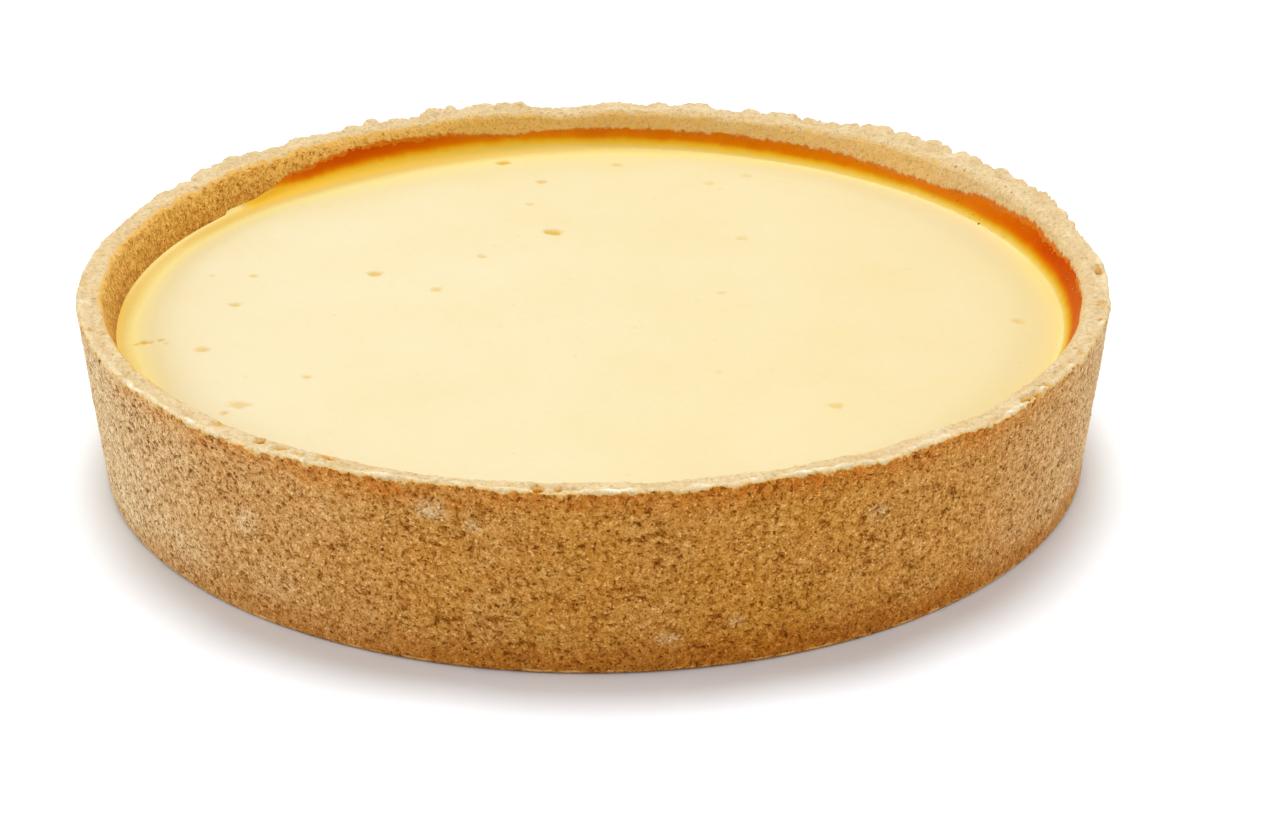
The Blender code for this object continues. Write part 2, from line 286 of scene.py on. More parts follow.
CAMERA_PLACE = Vector((0.0, -0.6657, 0.3133))
CAMERA_AIM = Vector((0.0107, 0.0, 0.0054))
CAMERA_LENS = 79.35
SENSOR_WIDTH = 36.0

FLOOR_REACH = 9.0
FLOOR_WHITE = (0.92, 0.96, 1.0)

# The light: an even white surround, then far soft lights, each with its azimuth from +X and its
# elevation in degrees, its spread and its strength
SURROUND_STRENGTH = 0.24
SOFT_LIGHTS = (
    ("top_light", 92.0, 76.0, 24.0, 0.68),
    ("left_light", 175.0, 18.0, 36.0, 0.38),
    ("right_light", 5.0, 18.0, 36.0, 0.31),
    ("front_light", 270.0, 35.0, 50.0, 0.26),
)

# Whole numbers that scatter a lattice's places into random values, one for each axis and the seed
SCATTER = (73856093, 19349663, 83492791, 2654435)
SCATTER_FACTOR = 1274126177
SCATTER_LIMIT = 0x7FFFFFFF
VALUE_LIMIT = 0xFFFF


# Numbers that vary smoothly

def lattice_value(place, seed):
    """A fixed random number from -1 to 1 for each whole-numbered place of a lattice."""
    mixed = place @ np.array(SCATTER[:3]) + seed * SCATTER[3]
    mixed = (mixed ^ (mixed >> 13)) & SCATTER_LIMIT
    mixed = (mixed * SCATTER_FACTOR) & SCATTER_LIMIT
    mixed = (mixed ^ (mixed >> 15)) & VALUE_LIMIT
    return mixed * 2.0 / VALUE_LIMIT - 1.0


def swell(points, size, seed):
    """Smooth unevenness from -1 to 1: lattice values a size apart, blended between the corners."""
    cells = points / size
    low = np.floor(cells).astype(np.int64)
    part = cells - low
    part = part * part * (3.0 - 2.0 * part)
    total = np.zeros(points.shape[:-1])
    for corner in np.ndindex(2, 2, 2):
        weight = np.prod(np.where(corner, part, 1.0 - part), axis=-1)
        total += weight * lattice_value(low + np.array(corner), seed)
    return total


def rough(points, size, seed, count):
    """Swells added up, each half as large and a little more than half as strong as the one before."""
    total = np.zeros(points.shape[:-1])
    weight = 1.0
    for octave in range(count):
        total += weight * swell(points + octave * size, size / 2 ** octave, seed + octave)
        weight *= 0.55
    return total


def grains(points, size, seed):
    """Packed grains: the distance to the nearest of one random point for each cell, over the cell's
    size, and a random value from 0 to 1 for each grain."""
    cells = points / size
    low = np.floor(cells).astype(np.int64)
    nearest = np.full(points.shape[:-1], np.inf)
    value = np.zeros(points.shape[:-1])
    for offset in np.ndindex(3, 3, 3):
        place = low + np.array(offset) - 1
        away = np.zeros(points.shape[:-1])
        for axis in range(3):
            centre = place[..., axis] + 0.5 + 0.42 * lattice_value(place, seed + axis)
            away += (cells[..., axis] - centre) ** 2
        away = np.sqrt(away)
        nearer = away < nearest
        value = np.where(nearer, lattice_value(place, seed + 3) * 0.5 + 0.5, value)
        nearest = np.where(nearer, away, nearest)
    return nearest, value


def hump(away):
    """1 in the middle and 0 from a distance of 1 on, with a smooth round shape between."""
    return np.clip(1.0 - away * away, 0.0, 1.0) ** 2


def dome(away):
    """1 in the middle and 0 from a distance of 1 on, shaped like half a ball."""
    return np.sqrt(np.clip(1.0 - away * away, 0.0, 1.0))


def step_up(value, low, high):
    """A smooth step: 0 up to the low value, 1 from the high value on."""
    part = np.clip((value - low) / (high - low), 0.0, 1.0)
    return part * part * (3.0 - 2.0 * part)


def degrees_from(angle, centre):
    """The shorter way round from a centre angle, in degrees."""
    return (angle - centre + 180.0) % 360.0 - 180.0


def between(stations, value, which=1):
    """A number that runs straight from station to station, each a place and its numbers."""
    return np.interp(value, [s[0] for s in stations], [s[which] for s in stations])


def round_the_cake(stations, angle, which=1):
    """The same for stations at angles in degrees."""
    return between(stations, angle % 360.0, which)


# Points and meshes

def points_at(x, y, height):
    """Points from their three coordinates, on the grid that these share."""
    return np.stack(np.broadcast_arrays(x, y, height), axis=-1)


def turned(radius, turn, height):
    """Points at a radius, an angle in radians and a height."""
    return points_at(radius * np.cos(turn), radius * np.sin(turn), height)


def grid_faces(rows, columns, closed):
    """The quads of a grid whose points are numbered row by row. A closed grid's last column is joined
    to its first."""
    across = columns if closed else columns - 1
    row, column = np.meshgrid(np.arange(rows - 1), np.arange(across), indexing="ij")
    here = row * columns + column
    there = row * columns + (column + 1) % columns
    return np.stack([here, here + columns, there + columns, there], axis=-1).reshape(-1, 4)


def add_surface(name, points, quads, material, values):
    """Put a grid's points and quads into a mesh with smooth faces and named values on its points."""
    mesh = bpy.data.meshes.new(name)
    flat = points.reshape(-1, 3)
    mesh.vertices.add(len(flat))
    mesh.vertices.foreach_set("co", flat.astype(np.float32).ravel())
    mesh.loops.add(quads.size)
    mesh.loops.foreach_set("vertex_index", quads.astype(np.int32).ravel())
    mesh.polygons.add(len(quads))
    mesh.polygons.foreach_set("loop_start", np.arange(0, quads.size, quads.shape[1], dtype=np.int32))
    mesh.update(calc_edges=True)
    mesh.validate()
    mesh.shade_smooth()
    for key, value in values.items():
        layer = mesh.attributes.new(key, "FLOAT", "POINT")
        layer.data.foreach_set("value", value.astype(np.float32).ravel())
    mesh.materials.append(material)
    piece = bpy.data.objects.new(name, mesh)
    bpy.context.scene.collection.objects.link(piece)
    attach(piece, "root")
    return piece


# The shortcrust

def inner_radius(height):
    """The inner wall's radius above the filling: a straight slope out to the rim's inner edge."""
    return RIM_RADIUS - RIM_WIDTH - INNER_SLOPE * (HEIGHT - height)


def rounded(corners, rounds, turns):
    """A line through the corners, each rounded by a quadratic curve from its round before it to its
    round behind it."""
    points = [corners[0]]
    for before, corner, after, size in zip(corners, corners[1:], corners[2:], rounds):
        start = corner + (before - corner) / np.linalg.norm(before - corner) * size
        end = corner + (after - corner) / np.linalg.norm(after - corner) * size
        for step in np.linspace(0.0, 1.0, turns):
            points.append(start * (1 - step) ** 2 + corner * 2 * step * (1 - step) + end * step ** 2)
    points.append(corners[-1])
    return np.array(points)


def crust_section():
    """The crust's section as rows of radius, height and outward normal, an even step apart:
    up the inner wall, over the rim, down the outer wall and a little way under the base."""
    low = CONTACT - WALL_BELOW_FILLING
    corners = np.array([
        (inner_radius(low), low),
        (RIM_RADIUS - RIM_WIDTH, HEIGHT),
        (RIM_RADIUS, HEIGHT),
        (BASE_RADIUS, 0.0),
        (BASE_RADIUS - UNDERSIDE_REACH, 0.0),
    ])
    line = rounded(corners, (INNER_EDGE_ROUND, OUTER_EDGE_ROUND, BASE_CORNER), 9)
    lengths = np.concatenate([[0.0], np.cumsum(np.linalg.norm(np.diff(line, axis=0), axis=1))])
    rows = int(round(lengths[-1] / ROW_STEP)) + 1
    along = np.linspace(0.0, lengths[-1], rows)
    radius = np.interp(along, lengths, line[:, 0])
    height = np.interp(along, lengths, line[:, 1])
    slope = np.stack([np.gradient(radius), np.gradient(height)], axis=1)
    slope /= np.linalg.norm(slope, axis=1, keepdims=True)
    return radius, height, np.stack([-slope[:, 1], slope[:, 0]], axis=1)


def above_film(height):
    """0 up to the filling's edge, then rising to 1 halfway between it and the rim."""
    return step_up(height, CONTACT, HEIGHT - EDGE_DROP / 2)


def inner_sway(points, height):
    """How far the inner wall sways in and out: a swell that fades in above the filling."""
    return 0.00035 * swell(points, 0.009, 2) * above_film(height)


def crust_places():
    """The turned section before its relief: for each point its place, radius, height, depth below the
    rim, angle and the outward and upward share of its normal, then the share from 0 to 1 that it has in
    each stretch of the crust, and the grains and smears that more than one stretch uses."""
    radius, height, normal = crust_section()
    turn = np.arange(COLUMNS) * 2.0 * np.pi / COLUMNS
    lines = [line[:, None] for line in (radius, height, normal[:, 0], normal[:, 1])]
    radius, height, outward, upward, turn = np.broadcast_arrays(*lines, turn)
    middle = RIM_RADIUS - RIM_WIDTH / 2
    at = SimpleNamespace(radius=radius, height=height, outward=outward, upward=upward, turn=turn)
    at.place = turned(radius, turn, height)
    at.angle = np.degrees(turn)
    at.depth = HEIGHT - height
    at.outside = step_up(radius, middle - RIM_WIDTH / 2, middle + RIM_WIDTH / 4)
    at.wall = step_up(outward, 0.55, 0.95) * step_up(radius, middle - RIM_WIDTH / 2, middle)
    at.inner = step_up(-outward, 0.4, 0.9)
    at.top = np.clip(1.0 - at.wall - at.inner, 0.0, 1.0) * step_up(height, HEIGHT / 2, HEIGHT * 0.9)
    at.near_top = step_up(height, HEIGHT - NEAR_TOP, HEIGHT)
    at.above_base = step_up(height, 0.0004, 0.0035)
    at.torn = at.place * np.array([1.0, 1.0, 1.5])
    at.grain, at.grain_value = grains(at.torn, GRAIN_SIZE, 11)
    at.smear = rough(turned(RIM_RADIUS / 3, turn, radius), 0.0019, 75, 3)
    return at


def rim_shape(at):
    """The push out and the rise of the rim: a hump for each of its forms, less one for each chip, with
    slow swells. Also how far each point lies in a chip's baked inside."""
    push = np.zeros_like(at.radius)
    rise = np.zeros_like(at.radius)
    for centre, half_width, out, up in RIM_FORMS:
        share = hump(degrees_from(at.angle, centre) / half_width) * at.near_top
        push += out * share * at.outside
        rise += up * share
    wobble = 1.0 + 0.45 * rough(at.place, 0.0016, 61, 2)
    chipped = np.zeros_like(at.radius)
    for centre, radius, along, across, deep, shown in RIM_CHIPS:
        arc = np.radians(degrees_from(at.angle, centre)) * radius
        share = hump(np.hypot(arc / along, (at.radius - radius) / across) * wobble)
        share = np.minimum(share * 2.4, 1.0) * (1.0 - step_up(at.depth, 0.0, 0.0034))
        rise -= deep * share
        share *= 1.0 - step_up(at.depth, 0.0003, 0.0012)
        chipped = np.maximum(chipped, shown * share)
    push += 0.00035 * swell(at.place, 0.009, 1) * at.outside * at.above_base
    push += inner_sway(at.place, at.height) * (1.0 - at.outside)
    rise += 0.00030 * swell(at.place, 0.010, 3) * at.near_top
    return push, rise, chipped


def wall_relief(at):
    """The outer wall: plateaus of packed grains, with torn pits between them. Returns the relief and
    how far each point lies in a hollow, which the finish darkens as painted shade."""
    tear = rough(at.torn, 0.0013, 21, 2) + 0.25 * rough(at.place, 0.007, 31, 2)
    pit = np.maximum(step_up(tear, 0.48, 0.95), step_up(rough(at.torn, 0.0030, 41, 3), 0.98, 1.35))
    low_band = 1.0 - 0.35 * step_up(0.008 - at.height, 0.0, 0.007)
    relief = (0.00024 * (0.55 - at.grain) + 0.00012 * (at.grain_value - 0.5)
              + 0.00010 * rough(at.place, 0.0030, 51, 2) - 0.00036 * pit) * low_band * at.above_base
    return relief, np.clip(0.85 * pit + 1.2 * (at.grain - 0.60), 0.0, 1.0) * low_band


def top_relief(at):
    """The rim's top: floury, smeared and smoother, with pits and a raised, broken ridge along its outer
    edge. Returns the relief, the pits and the ridge, which the finish also lightens as a painted
    highlight."""
    pit = step_up(rough(at.place, 0.0016, 81, 2), 0.66, 1.05)
    ridge_and_highlight = hump((at.radius - (RIM_RADIUS - 0.0009 + 0.0006 * rough(at.place, 0.0035, 91, 2))) / 0.0008)
    # Kept to the front: the ridge's lighter colour is a painted highlight along the edge
    ridge_and_highlight *= step_up(-np.sin(at.turn), -0.35, 0.25)
    ridge_and_highlight *= np.clip(0.50 + 0.95 * rough(at.place, 0.0034, 92, 2), 0.0, 1.5)
    relief = (0.00034 * at.smear + 0.00022 * rough(at.place, 0.0014, 71, 2)
              + 0.00008 * (0.5 - at.grain) - 0.00028 * pit + 0.00030 * ridge_and_highlight)
    return relief, pit, ridge_and_highlight


def inner_relief(at):
    """The inner wall above the filling: finer and sandy."""
    torn = step_up(rough(at.torn, 0.0016, 111, 2), 0.62, 1.0)
    relief = 0.00011 * (0.5 - at.grain) + 0.00010 * rough(at.place, 0.0022, 101, 3) - 0.00022 * torn
    return relief * above_film(at.height)


def edge_crumbs(at):
    """How far crumbs and lumps stand out of the outer edge: domes on packed grains of two sizes, by
    CRUMBLE, and a dome for each of RIM_LUMPS."""
    crumble = round_the_cake(CRUMBLE, at.angle)
    large_away, large_value = grains(at.place, 0.0036, 121)
    fine_away, fine_value = grains(at.place, 0.0017, 131)
    crumbs = dome(large_away / 0.66) * (0.15 + 0.85 * large_value) * crumble
    crumbs += 0.70 * dome(fine_away / 0.62) * fine_value * (0.25 + 0.75 * crumble)
    lump = np.zeros_like(at.radius)
    across = (at.radius - LUMP_RADIUS) / LUMP_REACH
    for centre, half_width, size in RIM_LUMPS:
        away = np.hypot(degrees_from(at.angle, centre) / half_width, across)
        lump = np.maximum(lump, size * dome(away * (1.0 + 0.12 * at.smear)))
    lump += 0.00085 * crumbs * step_up(at.radius, RIM_RADIUS - 0.0028, RIM_RADIUS - 0.0006)
    return lump * (1.0 - step_up(at.depth, 0.0010, 0.0040))


def pale_share(at, edge_noise, faces_in, front, ridge_and_highlight):
    """How pale the surface is: floury on top, with a painted highlight on the front ridge, and ragged
    where the wall's baked skin begins. Returns that and the thin pale line near the base."""
    past_edge = at.depth - (RIM_RADIUS - at.radius) * (1.0 - at.wall)
    reach = 0.0009 + 0.0020 * round_the_cake(CRUMBLE, at.angle) * (1.0 - front)
    outer = 1.0 - step_up(past_edge + 0.0009 * edge_noise, -0.0004, reach)
    toasted = round_the_cake(INNER_TOAST, at.angle) ** 0.5
    inner = 0.88 * (1.0 - toasted * step_up(at.depth + 0.0008 * edge_noise, -0.0008, 0.0020))
    pale = np.clip(outer * (1.0 - faces_in) + inner * faces_in + 0.25 * ridge_and_highlight * at.top, 0.0, 1.35)
    pale *= step_up(at.height, HEIGHT / 2, HEIGHT * 0.6)
    base_line = hump((at.height - 0.0010) / 0.0007) * (0.22 + 0.40 * rough(at.place, 0.003, 145, 2))
    return pale, base_line * (at.radius > BASE_RADIUS - 0.0012)


def dust_and_glare_share(at, edge_noise):
    """How dusty the outer wall is, partly flour and partly painted glare on the left and right sides: by
    its table round the cake, with slow unevenness and the floury patches.
    """
    dust_and_glare = round_the_cake(WALL_DUST_AND_GLARE, at.angle)
    dust_and_glare += (0.03 + 0.07 * dust_and_glare) * rough(at.place, 0.012, 165, 3)
    for centre, height, half_width, half_height, strength in FLOUR_PATCHES:
        arc = np.radians(degrees_from(at.angle, centre)) * at.radius
        away = np.hypot(arc / half_width, (at.height - height) / half_height)
        dust_and_glare += strength * hump(away) * (0.8 + 0.5 * edge_noise)
    return np.clip(dust_and_glare, 0.0, 1.0) * at.wall


def soaked_share(at):
    """How far the film's colour has soaked into the crumbs of the inner wall above its upper edge."""
    film_top = round_the_cake(FILM, at.angle)
    soaked = step_up(at.depth - film_top + 0.0006 * rough(at.place, 0.0011, 175, 2), -0.0003, 0.0003)
    soaked *= np.clip(round_the_cake(FILM, at.angle, 2), 0.0, 1.0) * at.inner
    return soaked * step_up(EDGE_DROP - film_top, 0.0006, 0.0030)


def crust_values(at, chipped, hollow, ridge_and_highlight):
    """What the finish reads: paleness, with a painted highlight on the front ridge; hollows, darkened as
    painted shade in pits, chips and under the base; rusty spots under the front of the rim; dust, partly
    painted glare on the sides; darker skin near the base; toast inside, with painted shade deeper down;
    the film's colour; and each grain's own value."""
    edge_noise = rough(at.place, 0.0019, 141, 3)
    faces_in = step_up(-at.outward, 0.10, 0.55)
    front = step_up(-np.sin(at.turn), 0.25, 0.8)
    pale, base_line = pale_share(at, edge_noise, faces_in, front, ridge_and_highlight)
    # Painted shade: the insides of the chips count as hollows and are darkened
    hollow = np.maximum(hollow, chipped * step_up(edge_noise, -0.7, 0.5))
    rust = step_up(rough(at.place, 0.0009, 151, 2), -0.2, 0.7)
    rust *= step_up(rough(at.place, 0.0045, 155, 2), -0.5, 0.5)
    skin = step_up(0.0115 - at.height + 0.0020 * rough(at.place, 0.008, 161, 2), 0.0, 0.0105)
    # Toast, with painted shade: the inner wall darkens deeper down towards the filling
    toast_and_shade = (0.6 + 0.4 * step_up(at.depth, 0.002, EDGE_DROP)) * round_the_cake(INNER_TOAST, at.angle) ** 2
    return {
        "pale": np.maximum(pale * (1.0 - chipped), base_line),
        # Painted shade under the base: the lowest strip of the wall counts as hollow
        "hollow": np.maximum(hollow, step_up(0.0006 - at.height, 0.0, 0.0005)),
        "rust": (0.34 + 0.66 * rust) * hump((at.depth - 0.0010) / 0.0080) * front * at.wall,
        "dust_and_glare": dust_and_glare_share(at, edge_noise),
        "skin": skin * at.wall * round_the_cake(SKIN_SHARE, at.angle),
        "toast_and_shade": toast_and_shade * at.inner,
        "soaked": soaked_share(at),
        "grain": at.grain_value,
        # The ridge's painted highlight, with the smears' own tone
        "ridge_and_highlight": (ridge_and_highlight + 0.35 * at.smear) * at.top,
        "inner": np.maximum(faces_in, 0.65 * chipped),
    }


def crust_grid():
    """The turned section with its relief: every point is its section point, moved by the rim's forms,
    chips and lumps, then moved along its normal by grains and pits. What rises above the tall rise is
    pressed down. Returns the points and the values that the finish reads."""
    at = crust_places()
    push, rise, chipped = rim_shape(at)
    wall, hollow = wall_relief(at)
    top, top_pit, ridge_and_highlight = top_relief(at)
    relief = wall * at.wall + top * at.top + inner_relief(at) * at.inner
    lump = edge_crumbs(at)
    push += 0.85 * lump * at.outside
    rise += 0.62 * lump * step_up(at.height, HEIGHT - 0.002, HEIGHT - 0.0004)
    out = push + relief * at.outward
    up = (rise + relief * at.upward) * step_up(at.height, 0.00002, 0.0012)
    up -= (1.0 - TALL_SHARE) * np.maximum(up - TALL_RISE, 0.0)
    # Painted shade: pits on the rim's top and the gaps between the inner wall's grains count as hollows
    hollow = hollow * at.wall + 0.6 * top_pit * at.top + 0.5 * at.inner * np.clip(at.grain - 0.45, 0, 1)
    return at.place + turned(out, at.turn, up), crust_values(at, chipped, hollow, ridge_and_highlight)


def add_crust(material):
    """The crust's grid cut into pieces: the inner wall, the rim, and the outer wall in sectors. Returns
    the grid's points."""
    points, values = crust_grid()
    radius, height, _ = crust_section()
    rim_start = int(np.argmax(height > HEIGHT - INNER_SEAM))
    past_edge = (radius > RIM_RADIUS - RIM_WIDTH / 2) & (height < HEIGHT - OUTER_SEAM)
    rim_end = int(np.argmax(past_edge))
    every = np.arange(COLUMNS)
    width = COLUMNS // WALL_SECTORS
    cuts = [("crust_inner_wall", 0, rim_start, every), ("crust_rim", rim_start, rim_end, every)]
    for sector in range(WALL_SECTORS):
        columns = np.arange(sector * width, (sector + 1) * width + 1) % COLUMNS
        cuts.append((f"crust_outer_wall_{sector + 1}", rim_end, len(radius) - 1, columns))
    for name, start, end, columns in cuts:
        quads = grid_faces(end + 1 - start, len(columns), len(columns) == COLUMNS)
        cut = {key: value[start:end + 1][:, columns] for key, value in values.items()}
        piece = add_surface(name, points[start:end + 1][:, columns], quads, material, cut)
        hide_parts("crust")
    return points


def square_to_disc(cells):
    """A square grid bent into a disc of radius 1: each ring of the square becomes a circle, with its
    points evenly spaced. Returns X and Y."""
    line = np.linspace(-1.0, 1.0, cells + 1)
    a, b = np.meshgrid(line, line, indexing="ij")
    wide = np.abs(a) > np.abs(b)
    ring = np.where(wide, a, b)
    other = np.where(wide, b, a)
    share = other / np.where(ring == 0.0, 1.0, ring)
    turn = np.where(wide, share, 2.0 - share) * np.pi / 4
    return ring * np.cos(turn), ring * np.sin(turn)


def add_base(material):
    """The flat underside: a disc of cells just inside the case, overlapping the wall's turned-in edge."""
    x, y = square_to_disc(BASE_CELLS)
    reach = BASE_RADIUS - UNDERSIDE_REACH + BASE_OVERLAP
    points = points_at(x * reach, y * reach, FLOOR_LEVEL + BASE_LIFT)
    quads = grid_faces(BASE_CELLS + 1, BASE_CELLS + 1, False)
    hollow = 0.5 * step_up(rough(points, 0.004, 171, 3), 0.4, 1.0)
    skin = 0.7 + 0.3 * rough(points, 0.02, 181, 2)
    values = dict.fromkeys(CRUST_VALUES, np.zeros_like(x))
    values.update(hollow=hollow, skin=skin, grain=0.5 + 0.5 * swell(points, 0.002, 191))
    piece = add_surface("crust_base", points, quads, material, values)
    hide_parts("crust")


# The custard

def filling_level(x, y):
    """The filling's height: flat with slow swells, sinking a little towards the crust."""
    radius = np.hypot(x, y)
    flat = points_at(x, y, HEIGHT - FILLING_DROP)
    edge = inner_radius(CONTACT)
    inwards = 1.0 - step_up(radius, FILLING_SINK_FROM, edge)
    level = CONTACT + (EDGE_DROP - FILLING_DROP) * inwards
    return level + 0.00040 * swell(flat, 0.055, 4) * inwards


def filling_pits(x, y):
    """Blemishes of the filling's top: the depth of every pit at each point, and how golden it is."""
    depth = np.zeros_like(x)
    gold = np.zeros_like(x)
    draws = np.random.default_rng(7)
    fine = []
    for _ in range(FINE_PIT_COUNT):
        reach = FINE_PIT_REACH * math.sqrt(draws.random())
        turn = draws.random() * math.tau
        size = 0.0005 + 0.0006 * draws.random() ** 2
        golden = 0.25 * draws.random()
        fine.append((reach * math.cos(turn), reach * math.sin(turn), size, FINE_PIT_DEPTH, golden))
    wobble = 1.0 + 0.3 * swell(points_at(x, y, 0.0), 0.0012, 201)
    for place_x, place_y, size, deep, golden in FILLING_PITS + tuple(fine):
        near = np.abs(x - place_x) < size * 1.6
        near &= np.abs(y - place_y) < size * 1.6
        away = np.hypot(x[near] - place_x, (y[near] - place_y) * 1.15) / size * wobble[near]
        depth[near] = np.maximum(depth[near], deep * hump(away))
        gold[near] = np.maximum(gold[near], golden * np.minimum(1.7 * hump(away), 1.0))
    return depth, gold


def add_custard_disc(material):
    """The filling's top inside the band: filling_level less the pits, on a square bent into a disc."""
    x, y = square_to_disc(DISC_CELLS)
    x = x * DISC_RADIUS
    y = y * DISC_RADIUS
    depth, gold = filling_pits(x, y)
    points = points_at(x, y, filling_level(x, y) - depth)
    turn = np.degrees(np.arctan2(y, x))
    values = {"bake": edge_bake(np.hypot(x, y), turn), "gold": gold, "painted_shade": np.zeros_like(x)}
    quads = grid_faces(DISC_CELLS + 1, DISC_CELLS + 1, False)[:, ::-1]
    piece = add_surface("filling_top", points, quads, material, values)
    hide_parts("filling")


def edge_bake(radius, angle):
    """How yellow the custard's top is: a little more towards +X, plus EDGE_YELLOW's strength times e to
    the power of minus the way to the crust over its reach."""
    across = radius * np.cos(np.radians(angle)) / DISC_RADIUS
    strength = round_the_cake(EDGE_YELLOW, angle)
    reach = round_the_cake(EDGE_YELLOW, angle, 2)
    away = np.maximum(inner_radius(CONTACT) - radius, 0.0)
    return 0.034 + 0.024 * across + strength * np.exp(-away / reach)


def band_columns():
    """The angles of the band's columns: one for each point of the disc's outer edge."""
    return (np.arange(4 * DISC_CELLS) * 2.0 * np.pi / (4 * DISC_CELLS))[None, :]


def film_climb(turn):
    """How far the film climbs above the contact at each angle: from FILM, with a ragged edge."""
    climb = EDGE_DROP - round_the_cake(FILM, np.degrees(turn))
    climb *= 1.0 + 0.07 * rough(turned(RIM_RADIUS, turn, 0.0), 0.008, 211, 4)
    return np.maximum(climb, 0.0002)


def band_grid():
    """The filling's edge as rows of points. The first half runs out over the flat. The second half
    climbs with t from 0 to 1: its height rises with t squared, and its radius is the crust's inner wall
    at that height less a fillet, bend times (1 - t) to the power 2.5, and a film's thickness that
    closes at the top, where the last row dips into the crust. The bend grows with the climb and where
    the custard stays pale. Returns points and t."""
    turn = band_columns()
    climb = film_climb(turn)
    bend = FILLET_LEAST + FILLET_HIGH * step_up(climb, 0.0, 0.006)
    bend += FILLET_PALE * step_up(-round_the_cake(FILM, np.degrees(turn), 2), -0.20, 0.30)
    start_radius = inner_radius(CONTACT) - bend
    flat_rows = BAND_ROWS // 2
    share = np.linspace(0.0, 1.0, flat_rows)[:, None]
    radius_out = DISC_RADIUS + (start_radius - DISC_RADIUS) * share
    x = radius_out * np.cos(turn)
    y = radius_out * np.sin(turn)
    height_out = filling_level(x, y) - filling_pits(x, y)[0]
    t = np.linspace(0.0, 1.0, BAND_ROWS - flat_rows + 1)[1:, None]
    start_height = filling_level(start_radius * np.cos(turn), start_radius * np.sin(turn))
    height_up = start_height + (CONTACT + climb - start_height) * t ** 2
    wall = inner_radius(height_up)
    wall += inner_sway(turned(wall, turn, height_up), height_up)
    thickness = FILM_THICKNESS * (1.0 - (1.0 - t) ** 3) * (1.0 - t ** 6) - FILM_DIP * t ** 6
    radius_up = wall - bend * (1.0 - t) ** 2.5 - thickness
    radius = np.concatenate([radius_out, radius_up])
    height = np.concatenate([height_out, height_up])
    return turned(radius, turn, height), np.concatenate([np.zeros((flat_rows, 1)), t])


def add_custard_band(material):
    """The band's grid with its colour values: yellow before the wall, golden then caramel up the film,
    pale where the custard climbs without browning, and darkened towards +X as painted shade. Returns the
    points."""
    points, t = band_grid()
    turn = band_columns()
    angle = np.degrees(turn)
    radius = np.hypot(points[..., 0], points[..., 1])
    up = np.maximum(points[..., 2] - CONTACT, 0.0) / round_the_cake(FILM, angle, 3)
    up *= 1.0 + 0.10 * rough(points, 0.006, 221, 2)
    shade = between(FILM_SHADE, up)
    baked = round_the_cake(FILM, angle, 2)
    first = FILM_SHADE[0][1]
    deep = first + (shade - first) * np.maximum(baked, 0.0) + 0.03 * swell(points, 0.0015, 225)
    bake = np.maximum(edge_bake(radius, angle), deep * step_up(t, 0.0, 0.30))
    bake *= 1.0 - 0.62 * step_up(-baked, 0.0, 0.55) * step_up(t, 0.0, 0.75)
    gold = filling_pits(points[..., 0], points[..., 1])[1] * (t == 0.0)
    # Painted shade: the golden and orange film on the +X side is darkened
    painted_shade = hump((bake - 0.44) / 0.27) * step_up(np.cos(turn), 0.35, 0.90)
    values = {"bake": bake, "gold": gold, "painted_shade": painted_shade}
    quads = grid_faces(BAND_ROWS, 4 * DISC_CELLS, True)[:, ::-1]
    piece = add_surface("filling_edge", points, quads, material, values)
    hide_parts("filling")
    return points


# Loose crumbs

def round_crumb():
    """A small ball's points and quads: a cube's six grids pushed out to a sphere, with the points that
    they share at the edges made one."""
    side_points = 4
    line = np.linspace(-1.0, 1.0, side_points)
    u, v = np.meshgrid(line, line, indexing="ij")
    sides = []
    for axis in range(3):
        for side in (-1.0, 1.0):
            grid = np.empty((side_points, side_points, 3))
            grid[..., axis] = side
            grid[..., (axis + 1) % 3] = u * side
            grid[..., (axis + 2) % 3] = v
            sides.append(grid.reshape(-1, 3))
    everything = np.round(np.concatenate(sides), 6)
    points, number = np.unique(everything, axis=0, return_inverse=True)
    firsts = np.arange(len(sides))[:, None, None] * side_points ** 2
    quads = grid_faces(side_points, side_points, False)[None, :, :] + firsts
    points /= np.linalg.norm(points, axis=1, keepdims=True)
    return points, number.reshape(-1)[quads.reshape(-1, 4)]


def add_crumbs(crust_points, film_points, material):
    """Loose crumbs: balls swollen by noise and squashed, each half sunk at a random point of a given
    stretch of the crust's or the film's grid."""
    draws = np.random.default_rng(19)
    drawn = []
    for source, first_row, last_row, low, high, count, small, large, pale, soak in CRUMB_PLACES:
        grid = crust_points if source == "crust" else film_points
        rows = draws.integers(first_row, last_row, count)
        columns = (draws.uniform(low, high, count) / 360.0 * grid.shape[1]).astype(int) % grid.shape[1]
        size = small + (large - small) * draws.random(count) ** 2
        paleness = pale * (0.7 + 0.3 * draws.random(count))
        drawn.append((grid[rows, columns], size, paleness, soak * (0.5 + draws.random(count))))
    centres, sizes, pales, soaks = (np.concatenate(parts)[:, None] for parts in zip(*drawn))
    ball, quads = round_crumb()
    directions = ball[None, :, :] + np.zeros_like(centres)
    swollen = 1.0 + 0.45 * swell(directions * 1.3 + centres * 900.0, 1.0, 301)
    points = centres + directions * np.array([1.0, 1.0, 0.8]) * (sizes * swollen)[..., None]
    numbers = np.arange(len(centres))[:, None, None] * len(ball)
    zero = np.zeros(points.shape[:-1])
    values = dict.fromkeys(CRUST_VALUES, zero)
    # A scorched crumb gets the full hollow value, which is its own dark colour
    values.update(pale=zero + pales, hollow=zero + (pales == 0.0), soaked=zero + soaks, grain=zero + 0.5)
    add_surface("loose_crumbs", points, (quads[None] + numbers).reshape(-1, 4), material, values)


# Finishes

